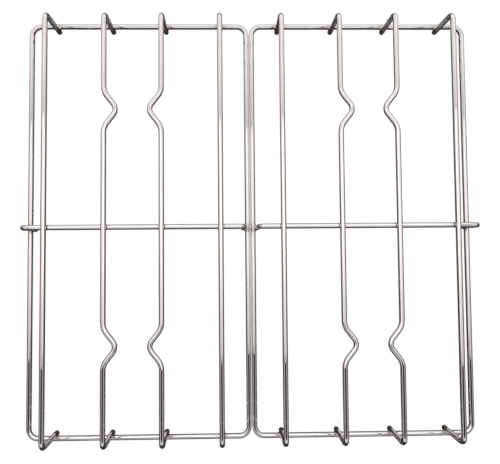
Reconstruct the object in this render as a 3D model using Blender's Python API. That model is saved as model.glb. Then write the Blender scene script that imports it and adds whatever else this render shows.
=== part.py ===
"""Pan supports of a four-burner gas hob: a pair of polished bent-wire grates that lie side by side.

Metres. The pair stands on z = 0 and is centred on the origin, with +X to the right across both grates
and +Y to the back of the hob. A grate is welded up from a frame ring, four support bars and a crossbar,
all bent from the same round wire. The bars' legs stand inside the ring, and the crossbar runs under the
bars with its own legs inside the ring's sides. Where two wires are welded, one is pressed a little way
into the other, and the flash of the weld fills the corners between them.
"""

import math

import bmesh
import bpy
from mathutils import Vector

# The whole pair
WIRE = 0.005  # diameter of every wire
GRATE_HEIGHT = 0.042  # from the feet to the top of the bars
GRATE_GAP = 0.0005  # between the rings of the two grates

# Frame ring
RING_WIDTH = 0.2212  # outside to outside, along X
RING_LENGTH = 0.4156  # outside to outside, along Y
RING_BEND = 0.0095  # radius of its corners, at the wire's centre
RING_LIFT = 0.001  # the feet hold the ring this far off the hob

# Bars
LEG_BEND = 0.006  # radius at the top of each leg, at the wire's centre
OUTER_BAR_INSET = 0.0289  # from the outside of the ring to the axis of an outer bar
BURNER_BAR_SPAN = 0.0535  # between the axes of the two burner bars
BURNER_PITCH = 0.2196  # between the centres of the front and the back burner
JOG_LENGTH = 0.033  # length of the pointed jog of a burner bar, along the bar
JOG_DEPTH = 0.013  # how far the jog's sides would meet out from the bar, before its tip is rounded
JOG_TIP_BEND = 0.0085
JOG_SHOULDER_BEND = 0.016

# Welds
SET_DOWN = 0.0008  # how far one wire is pressed into the other
SEAT_GAP = 0.0003  # clearance that keeps every piece a solid of its own
FLASH = 0.0009  # how far the flash stands out past the wires' radius
FOOT_FLASH_RISE = 0.0012  # the flash at a leg is centred this far above the ring's centre

# Detail of the meshes
BEND_STEP = math.radians(18)  # largest turn between two points of a bend
TUBE_RESOLUTION = 4  # a bevel resolution of 4 makes a tube of 12 sides

RADIUS = WIRE / 2
SEATED = WIRE - SET_DOWN  # distance between the axes of two wires that are welded together
RING_X = RING_WIDTH / 2 - RADIUS
RING_Y = RING_LENGTH / 2 - RADIUS
RING_Z = RING_LIFT + RADIUS
BAR_Z = GRATE_HEIGHT - RADIUS
CROSSBAR_Z = BAR_Z - SEATED
FOOT_WELD_Z = RING_Z + FOOT_FLASH_RISE
LEG_Y = RING_Y - SEATED
CROSSBAR_LEG_X = RING_X - SEATED
OUTER_BAR_X = RING_WIDTH / 2 - OUTER_BAR_INSET
BURNER_BAR_X = BURNER_BAR_SPAN / 2
CHROME = {"color": (0.79, 0.77, 0.76, 1.0), "roughness": 0.12}
WELD_FLASH = {"color": (0.60, 0.57, 0.55, 1.0), "roughness": 0.35}


def clear_scene():
    """Remove whatever the file holds."""
    for thing in list(bpy.data.objects):
        bpy.data.objects.remove(thing, do_unlink=True)


def new_collection(name):
    """Add a collection to the scene."""
    collection = bpy.data.collections.new(name)
    bpy.context.scene.collection.children.link(collection)
    return collection


def metal(name, color, roughness):
    """Make a plain metallic material."""
    material = bpy.data.materials.new(name)
    material.use_nodes = True
    shader = material.node_tree.nodes["Principled BSDF"]
    shader.inputs["Base Color"].default_value = color
    shader.inputs["Roughness"].default_value = roughness
    shader.inputs["Metallic"].default_value = 1.0
    return material


def bend(before, corner, after, radius):
    """Points of the arc that rounds a corner between two neighbouring corners."""
    back = (before - corner).normalized()
    ahead = (after - corner).normalized()
    turn = math.pi - back.angle(ahead)
    reach = radius * math.tan(turn / 2)
    centre = corner + (back + ahead).normalized() * radius / math.cos(turn / 2)
    start = (corner + back * reach - centre).normalized()
    finish = (corner + ahead * reach - centre).normalized()
    steps = math.ceil(turn / BEND_STEP)
    return [centre + start.slerp(finish, step / steps) * radius for step in range(steps + 1)]


def open_path(corners, radii):
    """Centreline of a wire with two ends, its inner corners rounded to their radii."""
    path = [corners[0]]
    for index, radius in enumerate(radii, start=1):
        path += bend(corners[index - 1], corners[index], corners[index + 1], radius)
    return path + [corners[-1]]


def closed_path(corners, radius):
    """Centreline of a wire that closes on itself, every corner rounded to one radius."""
    path = []
    for index, corner in enumerate(corners):
        path += bend(corners[index - 1], corner, corners[(index + 1) % len(corners)], radius)
    return path


def tube(name, path, radius, closed=False):
    """Make a round tube along a centreline, as a curve with filled ends."""
    curve = bpy.data.curves.new(name, "CURVE")
    curve.dimensions = "3D"
    curve.bevel_depth = radius
    curve.bevel_resolution = TUBE_RESOLUTION
    curve.use_fill_caps = not closed
    spline = curve.splines.new("POLY")
    spline.points.add(len(path) - 1)
    for point, place in zip(spline.points, path):
        point.co = (*place, 1.0)
    spline.use_cyclic_u = closed
    return bpy.data.objects.new(name, curve)


def tube_mesh(name, path, radius, closed=False):
    """Make the same tube as a closed mesh, which can be cut and can cut."""
    source = tube(name + "_curve", path, radius, closed)
    bpy.context.scene.collection.objects.link(source)
    graph = bpy.context.evaluated_depsgraph_get()
    mesh = bpy.data.meshes.new_from_object(source.evaluated_get(graph))
    mesh.name = name
    bm = bmesh.new()
    bm.from_mesh(mesh)
    bmesh.ops.remove_doubles(bm, verts=bm.verts, dist=1e-6)
    bm.to_mesh(mesh)
    bm.free()
    piece = bpy.data.objects.new(name, mesh)
    piece.matrix_world = source.matrix_world
    bpy.data.objects.remove(source, do_unlink=True)
    return piece


def cut(piece, cutter):
    """Take a cutter out of a piece with a Boolean."""
    modifier = piece.modifiers.new(cutter.name, "BOOLEAN")
    modifier.operation = "DIFFERENCE"
    modifier.object = cutter


def ring_path():
    """Centreline of the frame ring."""
    signs = ((-1, -1), (1, -1), (1, 1), (-1, 1))
    return closed_path([Vector((x * RING_X, y * RING_Y, RING_Z)) for x, y in signs], RING_BEND)


def bar_path(x, jog):
    """Centreline of a support bar at x. Its jogs lean to the side that the sign of jog says, and 0 makes none."""
    corners = [Vector((x, -LEG_Y, 0)), Vector((x, -LEG_Y, BAR_Z))]
    radii = [LEG_BEND]
    for burner_y in (-BURNER_PITCH / 2, BURNER_PITCH / 2) if jog else ():
        corners.append(Vector((x, burner_y - JOG_LENGTH / 2, BAR_Z)))
        corners.append(Vector((x + jog * JOG_DEPTH, burner_y, BAR_Z)))
        corners.append(Vector((x, burner_y + JOG_LENGTH / 2, BAR_Z)))
        radii += [JOG_SHOULDER_BEND, JOG_TIP_BEND, JOG_SHOULDER_BEND]
    corners += [Vector((x, LEG_Y, BAR_Z)), Vector((x, LEG_Y, 0))]
    return open_path(corners, radii + [LEG_BEND])


def crossbar_path():
    """Centreline of the crossbar."""
    places = (
        (-CROSSBAR_LEG_X, 0),
        (-CROSSBAR_LEG_X, CROSSBAR_Z),
        (CROSSBAR_LEG_X, CROSSBAR_Z),
        (CROSSBAR_LEG_X, 0),
    )
    return open_path([Vector((x, 0, z)) for x, z in places], [LEG_BEND, LEG_BEND])


def flash_mesh(name):
    """Make the round lump that a weld's flash is cut from."""
    bm = bmesh.new()
    bmesh.ops.create_uvsphere(bm, u_segments=16, v_segments=10, radius=RADIUS + FLASH)
    mesh = bpy.data.meshes.new(name)
    bm.to_mesh(mesh)
    bm.free()
    return mesh


class Grate:
    """One of the two grates, built around its own empty."""

    def __init__(self, side, centre_x, parts, cutters, materials):
        self.side = side
        self.parts = parts
        self.cutters = cutters
        self.materials = materials
        self.empty = bpy.data.objects.new(side + "_grate", None)
        self.empty.location.x = centre_x
        parts.objects.link(self.empty)

    def add(self, piece, material):
        """Put a finished piece in the grate."""
        piece.parent = self.empty
        piece.data.materials.clear()
        piece.data.materials.append(self.materials[material])
        self.parts.objects.link(piece)
        return piece

    def add_sleeve(self, path, closed=False):
        """Add the cutter that keeps the other pieces clear of a wire."""
        sleeve = tube_mesh(self.side + "_sleeve", path, RADIUS + SEAT_GAP, closed)
        sleeve.parent = self.empty
        sleeve.hide_render = True
        sleeve.display_type = "WIRE"
        self.cutters.objects.link(sleeve)
        return sleeve

    def add_weld(self, name, place, sleeves):
        """Add a weld's flash: a lump around a place between two wires, cut clear of both."""
        weld = bpy.data.objects.new(self.side + "_" + name, flash_mesh(name))
        weld.location = place
        for sleeve in sleeves:
            cut(weld, sleeve)
        self.add(weld, "weld_flash")

    def add_ring(self):
        """Add the frame ring."""
        path = ring_path()
        self.add(tube(self.side + "_frame_ring", path, RADIUS, closed=True), "ring_chrome")
        self.ring_sleeve = self.add_sleeve(path, closed=True)

    def add_bar(self, name, x, jog):
        """Add a support bar and the welds of its two legs."""
        path = bar_path(x, jog)
        bar = self.add(tube_mesh(self.side + "_" + name, path, RADIUS), "bar_chrome")
        cut(bar, self.ring_sleeve)
        sleeve = self.add_sleeve(path)
        for end, sign in (("front", -1), ("back", 1)):
            place = (x, sign * (LEG_Y + SEATED / 2), FOOT_WELD_Z)
            self.add_weld(f"{name}_{end}_weld", place, (self.ring_sleeve, sleeve))
        return sleeve

    def add_crossbar(self, bars):
        """Add the crossbar, the welds of its legs and its welds to the bars."""
        path = crossbar_path()
        crossbar = self.add(tube_mesh(self.side + "_crossbar", path, RADIUS), "crossbar_chrome")
        cut(crossbar, self.ring_sleeve)
        sleeve = self.add_sleeve(path)
        for end, sign in (("left", -1), ("right", 1)):
            place = (sign * (CROSSBAR_LEG_X + SEATED / 2), 0, FOOT_WELD_Z)
            self.add_weld(f"crossbar_{end}_weld", place, (self.ring_sleeve, sleeve))
        for name, (x, bar_sleeve) in bars.items():
            cut(crossbar, bar_sleeve)
            self.add_weld(name + "_crossing_weld", (x, 0, BAR_Z - SEATED / 2), (bar_sleeve, sleeve))

    def build(self):
        """Build every piece of the grate."""
        self.add_ring()
        bars = {}
        for name, x, jog in (("outer_bar", OUTER_BAR_X, 0), ("burner_bar", BURNER_BAR_X, -1)):
            for end, sign in (("left", -1), ("right", 1)):
                bars[f"{name}_{end}"] = (sign * x, self.add_bar(f"{name}_{end}", sign * x, sign * jog))
        self.add_crossbar(bars)


def main():
    """Build the pair."""
    clear_scene()
    parts = new_collection("hob_pan_supports")
    cutters = new_collection("cutters")
    materials = {
        "ring_chrome": metal("ring_chrome", **CHROME),
        "bar_chrome": metal("bar_chrome", **CHROME),
        "crossbar_chrome": metal("crossbar_chrome", **CHROME),
        "weld_flash": metal("weld_flash", **WELD_FLASH),
    }
    for side, sign in (("left", -1), ("right", 1)):
        Grate(side, sign * (RING_WIDTH + GRATE_GAP) / 2, parts, cutters, materials).build()


main()
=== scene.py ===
"""Looks of the pan supports of a gas hob: two grates of polished round wire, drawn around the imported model.

Metres, in the frame of the model. Every wire and every weld of the model is replaced by a finer piece in
the same place. Sizes and places are read from the model's boxes. The bends are the ones it was built to.
"""

import math

import bpy
from mathutils import Euler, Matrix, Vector, noise


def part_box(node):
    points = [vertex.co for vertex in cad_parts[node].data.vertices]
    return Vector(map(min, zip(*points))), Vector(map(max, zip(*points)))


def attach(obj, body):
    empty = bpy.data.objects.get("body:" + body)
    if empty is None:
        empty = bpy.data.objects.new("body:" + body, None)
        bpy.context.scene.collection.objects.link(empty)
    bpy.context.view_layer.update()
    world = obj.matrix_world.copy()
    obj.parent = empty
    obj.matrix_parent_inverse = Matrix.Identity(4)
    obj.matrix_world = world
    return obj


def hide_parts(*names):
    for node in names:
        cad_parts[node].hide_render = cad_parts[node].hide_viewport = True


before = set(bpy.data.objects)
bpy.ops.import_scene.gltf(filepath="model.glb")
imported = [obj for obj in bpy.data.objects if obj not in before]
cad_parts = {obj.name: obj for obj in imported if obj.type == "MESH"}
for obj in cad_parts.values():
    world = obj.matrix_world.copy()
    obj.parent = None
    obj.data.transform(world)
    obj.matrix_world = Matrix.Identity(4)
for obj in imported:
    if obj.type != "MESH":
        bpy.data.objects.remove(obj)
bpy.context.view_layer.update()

# Camera
CAMERA_PLACE = (-0.0254, -0.0208, 0.4656)
CAMERA_TILT = (2.240, -0.969, -0.440)  # degrees about X, Y and Z
CAMERA_LENS = 33.18  # mm
CAMERA_SENSOR = 36.0  # mm
CAMERA_SHIFT = (0.0342, -0.0026)
CAMERA_NEAR = 0.01

# Bends of the wires, at the wire's centre
RING_BEND = 0.0095
LEG_BEND = 0.006
BURNER_PITCH = 0.2196  # between the front and the back jog of a burner bar
JOG_LENGTH = 0.033
JOG_DEPTH = 0.013
JOG_TIP_BEND = 0.0085
JOG_SHOULDER_BEND = 0.016
SET_DOWN = 0.0008  # how far one wire is pressed into the one that it is welded to

# Detail of the wires
SIDES = 32
STEP = 0.003  # between two stations of a straight run
FINE_STEP = 0.0004  # the same at a tool mark or a weld
FINE_REACH = 0.003  # the stations spread from this far off the mark or the weld
FINE_SPREAD = 0.3  # how much wider the step gets with the distance
LAST_STEP = 1.5  # the last step of a run may be this many times longer
FAR = 1.0  # stands for the distance to the nearest of no places
BEND_STEP = math.radians(4)
END_CHAMFER = 0.00025
OVAL = 0.03  # how much a tight bend flattens the wire
STRAIGHT = 1e-4  # a path that turns less than this at a station is straight there
STRAIGHT_BAR = 1.2  # a bar without jogs has a box narrower than this many thicknesses of the wire
TOOL_MARK_PLACE = 0.022  # from the leg of a bar to the mark of the bending tool
TOOL_MARK_DEPTH = 0.00007
TOOL_MARK_HALF_LENGTH = 0.0005
TOOL_MARK_END = 3  # the mark has faded at this many half lengths

# Marks that the bending tool's grip left on the legs, on the side that faces the middle of the grate
GRIP_FOOT = (0.0065, 0.0085)  # they begin between these heights
GRIP_TOP = (0.033, 0.029)  # and end between these
GRIP_INNER = (0.84, 0.97)  # cosines off the direction to the middle, between which they grow clear
GRIP_PITCH = 0.00042  # of the fine teeth
GRIP_DEPTH = 0.00050
GRIP_SCORES_DEPTH = 0.0009  # of the rough scores over the teeth
GRIP_SCORES = (1100, 90, 90)  # scale of their noise along the wire and across it, per metre

# Polish of the wires. Each noise has its scale along the wire and across it, per metre.
LINES = (14, 2200, 2200)
WAVES = (70, 110, 110)
CLOUDS = (45, 160, 160)
SPECKS = (500, 900, 900)
LINES_DETAIL = (3.0, 0.6)  # octaves of the noise and its roughness
WAVES_DETAIL = (1.0, 0.5)
CLOUDS_DETAIL = (2.0, 0.5)
SPECKS_DETAIL = (2.0, 0.6)
LINES_BUMP = 0.02
LINES_DEPTH = 0.00003
WAVES_BUMP = 0.10
WAVES_DEPTH = 0.0004
LINES_DULL = (0.30, 0.62)  # the metal is dull below the first value of the noise and clear above the second
CLOUDS_DULL = (0.52, 0.80)  # it is clear below the first value and duller above the second
CLOUDS_DULL_SHARE = 0.30
CLOUDS_ROUGH = (0.30, 0.75)  # the polish worsens between these values
SPECKS_ROUGH = (0.62, 0.80)
SPECKS_ROUGHNESS = 0.02
RING_NOISE = (0.3, 0.8, 0.1)  # where each kind of wire takes its noise from
BAR_NOISE = (0.7, 0.2, 0.5)
CROSSBAR_NOISE = (0.1, 0.5, 0.9)
CHROME = (0.93, 0.91, 0.90, 1)
CHROME_DULL = (0.80, 0.77, 0.765, 1)
RING_ROUGHNESS = (0.025, 0.06)  # where the polish is best and where it is worst
BAR_ROUGHNESS = (0.03, 0.07)

# Heat marks beside the welds at the feet
HEAT_REACH = 0.024  # from a weld to where its heat no longer matters
HEAT_EDGE = 0.0018  # how far the edge of a heat mark wanders
HEAT_CLOUDS = (0.3, 0.7)  # values of the clouds' noise, over which it wanders
STRAW = (0.76, 0.70, 0.64, 1)
STRAW_REACH = (0.0050, 0.0115)  # the colour fades between these distances from the weld
STRAW_SHARE = 0.35
BURNT = (0.44, 0.38, 0.35, 1)
BURNT_REACH = (0.0032, 0.0072)
BURNT_SHARE = 0.40
BURNT_ROUGHNESS = 0.16  # added to the polish's own

# Welds
BEAD_ROWS = 28
BEAD_COLUMNS = 40
BEAD_FILLET = 0.0026
BEAD_LIMIT = 0.00335  # largest distance from a bead's centre to its surface
BEAD_HALVINGS = 14  # of that distance, while a bead's surface is sought
BEAD_SINK = 0.00004  # how far the bead lies under the wire's surface where no fillet fills a corner
BEAD_SWELL = 0.25  # how unevenly the fillet swells
BEAD_SWELL_SCALE = 260  # per metre
BEAD_LUMPS = 0.00016
BEAD_LUMPS_SCALE = 900  # per metre
SEED_STEP = 3.7  # from the noise of one weld to that of the next
SEED_SIDE_STEP = 5.3  # from the welds of one grate to those of the other
SEED_Z = 1.9
BEAD_RISE = 0.0012  # a leg's bead is centred this far above the ring's centre
FOOT_WELD_REACH = 1.4  # a weld heats a wire whose centreline passes within this many radii
FOOT_WELD_TOP = 2  # a weld at a foot lies lower than this many thicknesses of the wire
RIPPLES = (900, 900, 2400)  # scale of the noise along X, Y and Z, per metre
RIPPLES_DETAIL = (3.0, 0.55)
RIPPLES_NOISE = (0.3, 0.1, 0.7)
RIPPLES_BUMP = 0.5
RIPPLES_DEPTH = 0.00025
STAINS = (420, 420, 420)
STAINS_DETAIL = (3.0, 0.6)
STAINS_NOISE = (0.9, 0.4, 0.2)
STAINED_FROM = (0.35, 0.65)  # the stains grow between these values of their noise
SCALE_FROM = (0.55, 0.75)  # scale from the heat grows between these values of the ripples' noise
SCALE_SHARE = 0.45
ROUGH_FROM = (0.3, 0.7)
WELD_BRIGHT = (0.84, 0.82, 0.80, 1)
WELD_STAINED = (0.58, 0.53, 0.49, 1)
WELD_SCALE = (0.36, 0.30, 0.29, 1)
WELD_ROUGHNESS = (0.16, 0.34)

# Floor
FLOOR_SIZE = 6.0
FLOOR_PALE = (0.16, 0.16, 0.16, 1)  # as the camera sees it, with a glow that keeps it even
FLOOR_PALE_ROUGHNESS = 0.9
FLOOR_GLOW = 0.93
FLOOR_GLOSS = (0.026, 0.020, 0.020, 1)  # as the wires reflect it
FLOOR_GLOSS_ROUGHNESS = 0.04
FLOOR_GLOSS_IOR = 1.5
FLOOR_GLOW_BEHIND = (0.80, 0.79, 0.80, 1)  # painted glow: the floor as the wires reflect it behind the object
FLOOR_GLOW_FROM = (0.25, 0.60)  # the reflected floor turns into the painted glow between these two places along Y

# Light overhead
OVERHEAD_HEIGHT = 0.55
OVERHEAD_SIZE = (0.9, 0.5)
OVERHEAD_POWER = 0.88
OVERHEAD_COLOR = (1.0, 0.985, 0.97)

# Surround: the light from each angle off straight up, in degrees, to the front (-) or the back (+)
SKY_SPAN = 100
SKY_MIDDLE = (
    (-100, (0.012, 0.014, 0.022)),
    (-74, (0.045, 0.048, 0.068)),
    (-62, (0.24, 0.24, 0.27)),
    (-50, (0.70, 0.71, 0.76)),
    (-33, (0.74, 0.73, 0.75)),
    (-28, (0.12, 0.10, 0.105)),
    (-22, (0.018, 0.013, 0.014)),
    (-12, (0.020, 0.016, 0.017)),
    (-7, (0.16, 0.15, 0.15)),
    (-2, (0.46, 0.45, 0.45)),
    (12, (0.50, 0.49, 0.49)),
    (24, (1.03, 0.98, 0.965)),
    (38, (0.93, 0.90, 0.89)),
    (58, (1.04, 1.03, 1.05)),
    (82, (0.94, 0.94, 0.97)),
    (96, (0.30, 0.30, 0.32)),
)
SKY_SHOULDERS = (
    (-80, (0.05, 0.05, 0.06)),
    (-45, (0.60, 0.60, 0.64)),
    (-22, (0.52, 0.48, 0.49)),
    (-8, (0.80, 0.74, 0.73)),
    (12, (0.95, 0.92, 0.91)),
    (30, (0.72, 0.68, 0.665)),
    (80, (0.95, 0.94, 0.95)),
)
SKY_SIDES = (
    (-80, (0.03, 0.03, 0.04)),
    (-45, (0.22, 0.21, 0.22)),
    (-18, (0.25, 0.22, 0.23)),
    (8, (0.62, 0.57, 0.56)),
    (80, (0.75, 0.73, 0.74)),
)
SKY_LOW = (0.060, 0.052, 0.054, 1)  # close to the horizon, at both sides
SKY_SHOULDERS_FROM = (0.42, 0.58)  # how far to a side a direction leans where one zone turns into the next
SKY_SIDES_FROM = (0.74, 0.90)
SKY_LOW_FROM = (0.90, 0.995)
SKY_SEEN = (0.99, 0.99, 0.99, 1)  # behind the object, as the camera sees it

X_AXIS = Vector((1, 0, 0))
Y_AXIS = Vector((0, 1, 0))
Z_AXIS = Vector((0, 0, 1))


def make_camera():
    """Add the camera."""
    data = bpy.data.cameras.new("camera")
    data.lens = CAMERA_LENS
    data.sensor_width = CAMERA_SENSOR
    data.shift_x, data.shift_y = CAMERA_SHIFT
    data.clip_start = CAMERA_NEAR
    camera = bpy.data.objects.new("camera", data)
    camera.location = CAMERA_PLACE
    camera.rotation_euler = Euler([math.radians(angle) for angle in CAMERA_TILT])
    bpy.context.scene.collection.objects.link(camera)
    bpy.context.scene.camera = camera


make_camera()

# Sizes that the model's own boxes give
RING_LOW, RING_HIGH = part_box("left_frame_ring")
WIRE = RING_HIGH.z - RING_LOW.z
RADIUS = WIRE / 2
SEATED = WIRE - SET_DOWN
RING_Z = (RING_LOW.z + RING_HIGH.z) / 2
RING_X = (RING_HIGH.x - RING_LOW.x) / 2 - RADIUS
RING_Y = (RING_HIGH.y - RING_LOW.y) / 2 - RADIUS
BAR_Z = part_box("left_outer_bar_left")[1].z - RADIUS
CROSSBAR_Z = BAR_Z - SEATED
LEG_Y = RING_Y - SEATED
CROSSBAR_LEG_X = RING_X - SEATED


# Materials


class Nodes:
    """A short way to write a node tree."""

    def __init__(self, tree):
        self.tree = tree

    def add(self, kind, settings=None, **inputs):
        """Add a node. An input is a plain value or another node's output."""
        node = self.tree.nodes.new(kind)
        for key, value in (settings or {}).items():
            setattr(node, key, value)
        for key, value in inputs.items():
            self.feed(node.inputs[key.replace("_", " ")], value)
        return node

    def feed(self, socket, value):
        """Set a socket, or link an output to it."""
        if isinstance(value, bpy.types.NodeSocket):
            self.tree.links.new(value, socket)
        else:
            socket.default_value = value

    def attribute(self, name, output):
        """An output of one of the mesh's own attributes."""
        return self.add("ShaderNodeAttribute", {"attribute_name": name}).outputs[output]

    def stretched(self, vector, stretch, place):
        """A vector, scaled by a different number along each axis and moved to a place of its own."""
        mapping = self.add("ShaderNodeMapping", Vector=vector)
        mapping.inputs["Scale"].default_value = stretch
        mapping.inputs["Location"].default_value = place
        return mapping.outputs["Vector"]

    def noise(self, vector, detail=2.0, roughness=0.5):
        """A noise from 0 to 1."""
        node = self.add("ShaderNodeTexNoise", Vector=vector, Scale=1.0, Detail=detail, Roughness=roughness)
        return node.outputs["Fac"]

    def remap(self, value, low, high, to_low=0.0, to_high=1.0, kind="SMOOTHSTEP"):
        """A value taken from one range to another."""
        node = self.add("ShaderNodeMapRange", {"interpolation_type": kind}, Value=value)
        for key, number in (("From Min", low), ("From Max", high), ("To Min", to_low), ("To Max", to_high)):
            node.inputs[key].default_value = number
        return node.outputs["Result"]

    def math(self, operation, first, second=0.0):
        """The result of a sum of one value or two."""
        node = self.add("ShaderNodeMath", {"operation": operation})
        self.feed(node.inputs[0], first)
        self.feed(node.inputs[1], second)
        return node.outputs[0]

    def mix(self, factor, first, second):
        """A colour between two colours."""
        node = self.add("ShaderNodeMix", {"data_type": "RGBA"})
        self.feed(node.inputs["Factor"], factor)
        self.feed(node.inputs[6], first)
        self.feed(node.inputs[7], second)
        return node.outputs[2]

    def mix_shaders(self, factor, first, second):
        """A shader between two shaders."""
        node = self.add("ShaderNodeMixShader")
        for socket, value in zip(node.inputs, (factor, first, second)):
            self.feed(socket, value)
        return node.outputs[0]

    def bump(self, height, strength, distance, normal=None):
        """A normal that a height tilts."""
        node = self.add("ShaderNodeBump", Height=height)
        node.inputs["Strength"].default_value = strength
        node.inputs["Distance"].default_value = distance
        if normal:
            self.feed(node.inputs["Normal"], normal)
        return node.outputs["Normal"]

    def ramp(self, value, stops):
        """A colour that changes with a value, through stops of (value, colour)."""
        node = self.add("ShaderNodeValToRGB", Fac=value)
        node.color_ramp.interpolation = "EASE"
        elements = node.color_ramp.elements
        while len(elements) < len(stops):
            elements.new(0.5)
        for element, (position, color) in zip(elements, stops):
            element.position = position
            element.color = (*color, 1)
        return node.outputs["Color"]


def new_material(name, metallic):
    """A material with its nodes and its shader."""
    material = bpy.data.materials.new(name)
    material.use_nodes = True
    shader = material.node_tree.nodes["Principled BSDF"]
    shader.inputs["Metallic"].default_value = metallic
    return material, Nodes(material.node_tree), shader


def grip_normal(nodes, along, place, normal):
    """A normal, tilted by the teeth and the scores that the grip left."""
    grip = nodes.attribute("grip", "Fac")
    run = nodes.add("ShaderNodeSeparateXYZ", Vector=along).outputs["X"]
    teeth = nodes.math("SUBTRACT", 1.0, nodes.math("FRACT", nodes.math("DIVIDE", run, GRIP_PITCH)))
    toothed = nodes.bump(nodes.math("MULTIPLY", teeth, grip), 1.0, GRIP_DEPTH, normal)
    scores = nodes.noise(nodes.stretched(along, GRIP_SCORES, place))
    return nodes.bump(nodes.math("MULTIPLY", scores, grip), 1.0, GRIP_SCORES_DEPTH, toothed)


def polished_wire(name, place, roughness):
    """Polished drawn wire: lines along it, faint waves, cloudy polish, grip marks and heat marks."""
    material, nodes, shader = new_material(name, 1.0)
    along = nodes.attribute("along_wire", "Vector")
    lines = nodes.noise(nodes.stretched(along, LINES, place), *LINES_DETAIL)
    waves = nodes.noise(nodes.stretched(along, WAVES, place), *WAVES_DETAIL)
    clouds = nodes.noise(nodes.stretched(along, CLOUDS, place), *CLOUDS_DETAIL)
    specks = nodes.noise(nodes.stretched(along, SPECKS, place), *SPECKS_DETAIL)
    wander = nodes.remap(clouds, *HEAT_CLOUDS, -HEAT_EDGE, HEAT_EDGE)
    heat = nodes.math("ADD", nodes.attribute("weld_distance", "Fac"), wander)
    straw = nodes.remap(heat, *STRAW_REACH, 1.0, 0.0)
    burnt = nodes.remap(heat, *BURNT_REACH, 1.0, 0.0)
    color = nodes.mix(nodes.remap(lines, *LINES_DULL, 1.0, 0.0), CHROME, CHROME_DULL)
    color = nodes.mix(nodes.remap(clouds, *CLOUDS_DULL, 0.0, CLOUDS_DULL_SHARE), color, CHROME_DULL)
    color = nodes.mix(nodes.math("MULTIPLY", straw, STRAW_SHARE), color, STRAW)
    color = nodes.mix(nodes.math("MULTIPLY", burnt, BURNT_SHARE), color, BURNT)
    nodes.feed(shader.inputs["Base Color"], color)
    rough = nodes.remap(clouds, *CLOUDS_ROUGH, *roughness)
    rough = nodes.math("ADD", rough, nodes.remap(specks, *SPECKS_ROUGH, 0.0, SPECKS_ROUGHNESS))
    rough = nodes.math("ADD", rough, nodes.math("MULTIPLY", burnt, BURNT_ROUGHNESS))
    nodes.feed(shader.inputs["Roughness"], rough)
    normal = nodes.bump(waves, WAVES_BUMP, WAVES_DEPTH)
    normal = nodes.bump(lines, LINES_BUMP, LINES_DEPTH, normal)
    nodes.feed(shader.inputs["Normal"], grip_normal(nodes, along, place, normal))
    return material


def weld_metal(name):
    """Metal that ran in a weld: duller than the wire, rippled and stained by heat."""
    material, nodes, shader = new_material(name, 1.0)
    place = nodes.add("ShaderNodeTexCoord").outputs["Object"]
    ripples = nodes.noise(nodes.stretched(place, RIPPLES, RIPPLES_NOISE), *RIPPLES_DETAIL)
    stains = nodes.noise(nodes.stretched(place, STAINS, STAINS_NOISE), *STAINS_DETAIL)
    color = nodes.mix(nodes.remap(stains, *STAINED_FROM), WELD_BRIGHT, WELD_STAINED)
    color = nodes.mix(nodes.remap(ripples, *SCALE_FROM, 0.0, SCALE_SHARE), color, WELD_SCALE)
    nodes.feed(shader.inputs["Base Color"], color)
    nodes.feed(shader.inputs["Roughness"], nodes.remap(stains, *ROUGH_FROM, *WELD_ROUGHNESS))
    nodes.feed(shader.inputs["Normal"], nodes.bump(ripples, RIPPLES_BUMP, RIPPLES_DEPTH))
    return material


# Wires


def bend(before, corner, after, radius):
    """Points of the arc that rounds a corner between two neighbouring corners."""
    back = (before - corner).normalized()
    ahead = (after - corner).normalized()
    turn = math.pi - back.angle(ahead)
    reach = radius * math.tan(turn / 2)
    centre = corner + (back + ahead).normalized() * radius / math.cos(turn / 2)
    start = (corner + back * reach - centre).normalized()
    finish = (corner + ahead * reach - centre).normalized()
    steps = math.ceil(turn / BEND_STEP)
    return [centre + start.slerp(finish, step / steps) * radius for step in range(steps + 1)]


def rounded(corners, radii):
    """Centreline of a wire, its inner corners rounded to their radii."""
    path = [corners[0]]
    for index, radius in enumerate(radii, start=1):
        path += bend(corners[index - 1], corners[index], corners[index + 1], radius)
    return path + [corners[-1]]


def ring_path():
    """Centreline of a frame ring. It starts and ends in the middle of its back."""
    start = Vector((0, RING_Y, RING_Z))
    signs = ((1, 1), (1, -1), (-1, -1), (-1, 1))
    corners = [Vector((x * RING_X, y * RING_Y, RING_Z)) for x, y in signs]
    return rounded([start, *corners, start], [RING_BEND] * 4)


def bar_path(x, jog):
    """Centreline of a support bar at x. Its jogs lean to the side of jog's sign, and 0 makes none."""
    corners = [Vector((x, -LEG_Y, 0)), Vector((x, -LEG_Y, BAR_Z))]
    radii = [LEG_BEND]
    for burner_y in (-BURNER_PITCH / 2, BURNER_PITCH / 2) if jog else ():
        corners.append(Vector((x, burner_y - JOG_LENGTH / 2, BAR_Z)))
        corners.append(Vector((x + jog * JOG_DEPTH, burner_y, BAR_Z)))
        corners.append(Vector((x, burner_y + JOG_LENGTH / 2, BAR_Z)))
        radii += [JOG_SHOULDER_BEND, JOG_TIP_BEND, JOG_SHOULDER_BEND]
    corners += [Vector((x, LEG_Y, BAR_Z)), Vector((x, LEG_Y, 0))]
    return rounded(corners, radii + [LEG_BEND])


def crossbar_path():
    """Centreline of a crossbar."""
    low, high = -CROSSBAR_LEG_X, CROSSBAR_LEG_X
    places = ((low, 0), (low, CROSSBAR_Z), (high, CROSSBAR_Z), (high, 0))
    return rounded([Vector((x, 0, z)) for x, z in places], [LEG_BEND, LEG_BEND])


def nearest(point, places):
    """Distance from a point to the nearest of some places."""
    return min(((point - place).length for place in places), default=FAR)


def distance_to_run(place, start, end):
    """Distance from a place to a straight run."""
    run = end - start
    share = min(1.0, max(0.0, (place - start).dot(run) / run.length_squared))
    return (place - start - run * share).length


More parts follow.
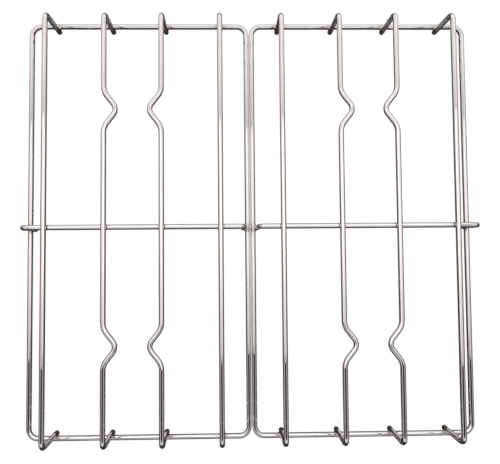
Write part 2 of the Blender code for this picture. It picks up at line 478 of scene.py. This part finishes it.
def subdivided(path, fine_places):
    """A path with stations along its straight runs, closer together near the fine places."""
    stations = [path[0]]
    for end in path[1:]:
        while True:
            here = stations[-1]
            spread = (nearest(here, fine_places) - FINE_REACH) * FINE_SPREAD
            step = min(STEP, max(FINE_STEP, spread))
            if (end - here).length < step * LAST_STEP:
                break
            stations.append(here + (end - here).normalized() * step)
        stations.append(end)
    return stations


def cross_directions(path, closed):
    """Two directions across the wire at every station, carried along it without twist."""
    count = len(path)
    found = []
    across = Y_AXIS if abs((path[1] - path[0]).z) > 0 else Z_AXIS
    last = None
    for index in range(count):
        before = path[index - 1] if closed or index else path[0]
        after = path[(index + 1) % count] if closed or index + 1 < count else path[-1]
        direction = (after - before).normalized()
        if last:
            across = last.rotation_difference(direction) @ across
        across = (across - direction * across.dot(direction)).normalized()
        found.append((across.copy(), direction.cross(across)))
        last = direction
    return found


def bend_inside(path, index, closed):
    """Direction towards the inside of the bend at a station, and how tight the bend is, from 0 to 1."""
    if not closed and index in (0, len(path) - 1):
        return Vector((0, 0, 0)), 0.0
    before, here, after = path[index - 1], path[index], path[(index + 1) % len(path)]
    turn = (before - here).normalized() + (after - here).normalized()
    spread = ((before - here).length + (after - here).length) / 2
    if turn.length < STRAIGHT:
        return Vector((0, 0, 0)), 0.0
    return turn.normalized(), min(1.0, LEG_BEND * turn.length / spread)


def tool_dent(place, out, marks):
    """How deep the bending tool's mark is at a point of the wire's surface."""
    depth = 0.0
    for mark in marks:
        along = abs(place.y - mark.y) / TOOL_MARK_HALF_LENGTH
        if along < TOOL_MARK_END:
            depth = max(depth, math.exp(-along * along) * max(0.0, out.z) ** 2)
    return depth * TOOL_MARK_DEPTH


def share_between(value, low, high):
    """How far a value is on its way from one number to another, from 0 to 1."""
    return min(1.0, max(0.0, (value - low) / (high - low)))


def grip_mark(centre, out):
    """How clear the grip's marks are at a point of the surface, from 0 to 1."""
    outward = Vector((centre.x, centre.y, 0)).normalized()
    inner = share_between(-out.dot(outward), *GRIP_INNER)
    return inner * share_between(centre.z, *GRIP_FOOT) * share_between(centre.z, *GRIP_TOP)


def tube_faces(stations, closed):
    """Faces of a tube, with a flat cap on each end unless it closes on itself."""
    faces = []
    for station in range(stations if closed else stations - 1):
        here = station * SIDES
        there = (station + 1) % stations * SIDES
        for side in range(SIDES):
            ahead = (side + 1) % SIDES
            faces.append((here + side, here + ahead, there + ahead, there + side))
    if not closed:
        last = (stations - 1) * SIDES
        faces.append(tuple(range(SIDES - 1, -1, -1)))
        faces.append(tuple(range(last, last + SIDES)))
    return faces


def with_chamfers(path):
    """A path with a station at the foot of each end's chamfer."""
    first = path[0] + (path[1] - path[0]).normalized() * END_CHAMFER
    last = path[-1] + (path[-2] - path[-1]).normalized() * END_CHAMFER
    return [path[0], first, *path[1:-1], last, path[-1]]


def wire_mesh(name, path, closed, welds, marks):
    """Mesh of a wire, with the attributes that its material reads."""
    path = subdivided(path, welds + marks)
    path = path[:-1] if closed else with_chamfers(path)
    crossing = cross_directions(path, closed)
    vertices = []
    along = []
    distances = []
    grips = []
    run = 0.0
    for index, centre in enumerate(path):
        run += (centre - path[index - 1]).length if index else 0.0
        inside, tight = bend_inside(path, index, closed)
        chamfer = END_CHAMFER if not closed and index in (0, len(path) - 1) else 0.0
        for side in range(SIDES):
            angle = math.tau * side / SIDES
            out = crossing[index][0] * math.cos(angle) + crossing[index][1] * math.sin(angle)
            radius = RADIUS - OVAL * RADIUS * tight * inside.dot(out) ** 2
            radius -= tool_dent(centre, out, marks) + chamfer
            vertices.append(centre + out * radius)
            along.append((run, RADIUS * math.cos(angle), RADIUS * math.sin(angle)))
            distances.append(min(HEAT_REACH, nearest(vertices[-1], welds)))
            grips.append(grip_mark(centre, out))
    faces = tube_faces(len(path), closed)
    mesh = bpy.data.meshes.new(name)
    mesh.from_pydata(vertices, [], faces)
    mesh.polygons.foreach_set("use_smooth", [len(face) == 4 for face in faces])
    places = mesh.attributes.new("along_wire", "FLOAT_VECTOR", "POINT")
    places.data.foreach_set("vector", [value for place in along for value in place])
    heat = mesh.attributes.new("weld_distance", "FLOAT", "POINT")
    heat.data.foreach_set("value", distances)
    grip = mesh.attributes.new("grip", "FLOAT", "POINT")
    grip.data.foreach_set("value", grips)
    return mesh


# Welds


def wire_distance(point, centre, axis):
    """Distance from a point to the surface of a straight wire."""
    offset = point - centre
    return (offset - axis * offset.dot(axis)).length - RADIUS


def bead_depth(point, first, second, seed):
    """How far a point lies outside the metal of a weld between two wires. It is below 0 inside."""
    one = wire_distance(point, *first)
    two = wire_distance(point, *second)
    lumps = noise.noise(point * BEAD_LUMPS_SCALE + seed) * BEAD_LUMPS
    fillet = BEAD_FILLET * (1 + BEAD_SWELL * noise.noise(point * BEAD_SWELL_SCALE + seed))
    blend = max(fillet - abs(one - two), 0.0) / fillet
    return min(one, two) - blend * blend * (fillet / 4 + lumps) + BEAD_SINK


def bead_radius(centre, direction, first, second, seed):
    """Distance from a bead's centre to its surface, along a direction."""
    low, high = 0.0, BEAD_LIMIT
    if bead_depth(centre + direction * high, first, second, seed) < 0:
        return high
    for _ in range(BEAD_HALVINGS):
        middle = (low + high) / 2
        if bead_depth(centre + direction * middle, first, second, seed) < 0:
            low = middle
        else:
            high = middle
    return low


def bead_faces():
    """Faces of a bead: a fan of triangles at the bottom and at the top, and rows of quads between them."""
    top = 1 + (BEAD_ROWS - 1) * BEAD_COLUMNS
    last = top - BEAD_COLUMNS
    faces = []
    for column in range(BEAD_COLUMNS):
        ahead = (column + 1) % BEAD_COLUMNS
        faces.append((0, 1 + ahead, 1 + column))
        for low in range(1, last, BEAD_COLUMNS):
            high = low + BEAD_COLUMNS
            faces.append((low + column, low + ahead, high + ahead, high + column))
        faces.append((last + column, last + ahead, top))
    return faces


def bead_mesh(name, centre, first, second, seed):
    """Mesh of the metal that ran into the corners between two wires."""
    directions = [-Z_AXIS]
    for row in range(1, BEAD_ROWS):
        polar = math.pi * row / BEAD_ROWS
        for column in range(BEAD_COLUMNS):
            turn = math.tau * column / BEAD_COLUMNS
            flat = math.sin(polar)
            directions.append(Vector((flat * math.cos(turn), flat * math.sin(turn), -math.cos(polar))))
    directions.append(Z_AXIS)
    faces = bead_faces()
    mesh = bpy.data.meshes.new(name)
    vertices = [out * bead_radius(centre, out, first, second, seed) for out in directions]
    mesh.from_pydata(vertices, [], faces)
    mesh.polygons.foreach_set("use_smooth", [True] * len(faces))
    return mesh


# Grates


def bar_place(side, name):
    """Where a bar stands across its grate, and the side that its jogs lean to."""
    low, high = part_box(f"{side}_{name}")
    ring_low, ring_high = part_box(f"{side}_frame_ring")
    centre = (ring_low.x + ring_high.x) / 2
    if high.x - low.x < WIRE * STRAIGHT_BAR:
        return (low.x + high.x) / 2 - centre, 0
    if name.endswith("left"):
        return low.x + RADIUS - centre, 1
    return high.x - RADIUS - centre, -1


class Grate:
    """The finer pieces of one grate."""

    def __init__(self, side, materials):
        low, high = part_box(f"{side}_frame_ring")
        self.side = side
        self.middle = Vector(((low.x + high.x) / 2, (low.y + high.y) / 2, 0))
        self.materials = materials
        names = ("outer_bar_left", "burner_bar_left", "burner_bar_right", "outer_bar_right")
        self.bars = {name: bar_place(side, name) for name in names}
        self.welds = self.weld_places()

    def weld_places(self):
        """The welds of the grate: the place of each, and the two wires that it joins."""
        places = {}
        foot_z = RING_Z + BEAD_RISE
        for name, (x, _) in self.bars.items():
            for end, sign in (("front", -1), ("back", 1)):
                ring = (Vector((x, sign * RING_Y, RING_Z)), X_AXIS)
                leg = (Vector((x, sign * LEG_Y, 0)), Z_AXIS)
                middle = Vector((x, sign * (RING_Y + LEG_Y) / 2, foot_z))
                places[f"{name}_{end}_weld"] = (middle, ring, leg)
            bar = (Vector((x, 0, BAR_Z)), Y_AXIS)
            crossbar = (Vector((x, 0, CROSSBAR_Z)), X_AXIS)
            places[f"{name}_crossing_weld"] = (Vector((x, 0, (BAR_Z + CROSSBAR_Z) / 2)), bar, crossbar)
        for end, sign in (("left", -1), ("right", 1)):
            ring = (Vector((sign * RING_X, 0, RING_Z)), Y_AXIS)
            leg = (Vector((sign * CROSSBAR_LEG_X, 0, 0)), Z_AXIS)
            middle = Vector((sign * (RING_X + CROSSBAR_LEG_X) / 2, 0, foot_z))
            places[f"crossbar_{end}_weld"] = (middle, ring, leg)
        return places

    def add(self, node, mesh, place, slot):
        """Put a finished piece in the place of a node of the model."""
        piece = bpy.data.objects.new(f"{self.side}_{node}_finish", mesh)
        piece.location = self.middle + place
        mesh.materials.append(self.materials[slot])
        bpy.context.scene.collection.objects.link(piece)
        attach(piece, f"{self.side}_grate")
        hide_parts(f"{self.side}_{node}")

    def add_wire(self, node, path, closed, marks, slot):
        """Add a wire, with heat marks around the welds at its feet."""
        own = []
        for place, _, _ in self.welds.values():
            gap = min(distance_to_run(place, *run) for run in zip(path, path[1:]))
            if gap < RADIUS * FOOT_WELD_REACH and place.z < WIRE * FOOT_WELD_TOP:
                own.append(place)
        mesh = wire_mesh(f"{self.side}_{node}", path, closed, own, marks)
        self.add(node, mesh, Vector((0, 0, 0)), slot)

    def build(self):
        """Build every piece of the grate."""
        self.add_wire("frame_ring", ring_path(), True, [], "ring_chrome")
        mark_y = LEG_Y - TOOL_MARK_PLACE
        for name, (x, jog) in self.bars.items():
            marks = [Vector((x, -mark_y, BAR_Z)), Vector((x, mark_y, BAR_Z))]
            self.add_wire(name, bar_path(x, jog), False, marks, "bar_chrome")
        self.add_wire("crossbar", crossbar_path(), False, [], "crossbar_chrome")
        for number, (name, (place, first, second)) in enumerate(self.welds.items()):
            seed = Vector((number * SEED_STEP, len(self.side) * SEED_SIDE_STEP, SEED_Z))
            mesh = bead_mesh(f"{self.side}_{name}", place, first, second, seed)
            self.add(name, mesh, place, "weld_flash")


# Studio


def pale_floor(shader):
    """Make the floor's own shader pale, even and free of highlights."""
    shader.inputs["Base Color"].default_value = FLOOR_PALE
    shader.inputs["Roughness"].default_value = FLOOR_PALE_ROUGHNESS
    shader.inputs["Specular IOR Level"].default_value = 0.0
    shader.inputs["Emission Color"].default_value = (1, 1, 1, 1)
    shader.inputs["Emission Strength"].default_value = FLOOR_GLOW


def reflected_floor(nodes):
    """The floor as the wires reflect it: a dark gloss that turns into a painted glow behind the object."""
    gloss = nodes.add("ShaderNodeBsdfPrincipled", Roughness=FLOOR_GLOSS_ROUGHNESS, IOR=FLOOR_GLOSS_IOR)
    gloss.inputs["Base Color"].default_value = FLOOR_GLOSS
    # Painted glow: the floor behind the object shines in the wires' reflections, though it is no lamp.
    painted_glow = nodes.add("ShaderNodeEmission", Color=FLOOR_GLOW_BEHIND)
    position = nodes.add("ShaderNodeNewGeometry").outputs["Position"]
    place = nodes.add("ShaderNodeSeparateXYZ", Vector=position)
    behind = nodes.remap(place.outputs["Y"], *FLOOR_GLOW_FROM)
    return nodes.mix_shaders(behind, gloss.outputs[0], painted_glow.outputs[0])


def make_floor():
    """Add the floor. The camera sees it pale and evenly lit, and the wires reflect it darker, with a painted
    glow behind the object.
    """
    half = FLOOR_SIZE / 2
    mesh = bpy.data.meshes.new("floor")
    corners = [(-half, -half, 0), (half, -half, 0), (half, half, 0), (-half, half, 0)]
    mesh.from_pydata(corners, [], [(0, 1, 2, 3)])
    material, nodes, shader = new_material("floor", 0.0)
    pale_floor(shader)
    seen = nodes.add("ShaderNodeLightPath").outputs["Is Camera Ray"]
    surface = nodes.mix_shaders(seen, reflected_floor(nodes), shader.outputs[0])
    nodes.feed(nodes.tree.nodes["Material Output"].inputs["Surface"], surface)
    mesh.materials.append(material)
    floor = bpy.data.objects.new("floor", mesh)
    bpy.context.scene.collection.objects.link(floor)


def sky_zone(nodes, lean, stops):
    """The colour of one zone of the surround, by how far a direction leans to the back."""
    return nodes.ramp(lean, [(0.5 + angle / SKY_SPAN / 2, color) for angle, color in stops])


def make_surround():
    """Light the scene from all around, by how far a direction leans to the back and to a side."""
    world = bpy.data.worlds.new("studio")
    world.use_nodes = True
    bpy.context.scene.world = world
    nodes = Nodes(world.node_tree)
    direction = nodes.add("ShaderNodeTexCoord").outputs["Generated"]
    x, y, z = nodes.add("ShaderNodeSeparateXYZ", Vector=direction).outputs
    widest = math.radians(SKY_SPAN)
    lean = nodes.remap(nodes.math("ARCTAN2", y, z), -widest, widest, kind="LINEAR")
    aside = nodes.math("ABSOLUTE", x)
    middle = sky_zone(nodes, lean, SKY_MIDDLE)
    shoulders = sky_zone(nodes, lean, SKY_SHOULDERS)
    sides = sky_zone(nodes, lean, SKY_SIDES)
    color = nodes.mix(nodes.remap(aside, *SKY_SHOULDERS_FROM), middle, shoulders)
    color = nodes.mix(nodes.remap(aside, *SKY_SIDES_FROM), color, sides)
    color = nodes.mix(nodes.remap(aside, *SKY_LOW_FROM), color, SKY_LOW)
    seen = nodes.add("ShaderNodeLightPath").outputs["Is Camera Ray"]
    color = nodes.mix(seen, color, SKY_SEEN)
    nodes.feed(nodes.tree.nodes["Background"].inputs["Color"], color)


def make_overhead_light():
    """Add the soft rectangular light that hangs over the grates. The camera doesn't see it."""
    data = bpy.data.lights.new("overhead", "AREA")
    data.shape = "RECTANGLE"
    data.size, data.size_y = OVERHEAD_SIZE
    data.energy = OVERHEAD_POWER
    data.color = OVERHEAD_COLOR
    light = bpy.data.objects.new("overhead", data)
    light.location = (0, 0, OVERHEAD_HEIGHT)
    light.visible_camera = False
    bpy.context.scene.collection.objects.link(light)


def main():
    """Build the scene."""
    bpy.context.scene.view_settings.view_transform = "Standard"
    make_surround()
    make_floor()
    make_overhead_light()
    materials = {
        "ring_chrome": polished_wire("ring_chrome", RING_NOISE, RING_ROUGHNESS),
        "bar_chrome": polished_wire("bar_chrome", BAR_NOISE, BAR_ROUGHNESS),
        "crossbar_chrome": polished_wire("crossbar_chrome", CROSSBAR_NOISE, RING_ROUGHNESS),
        "weld_flash": weld_metal("weld_flash"),
    }
    for side in ("left", "right"):
        Grate(side, materials).build()


main()
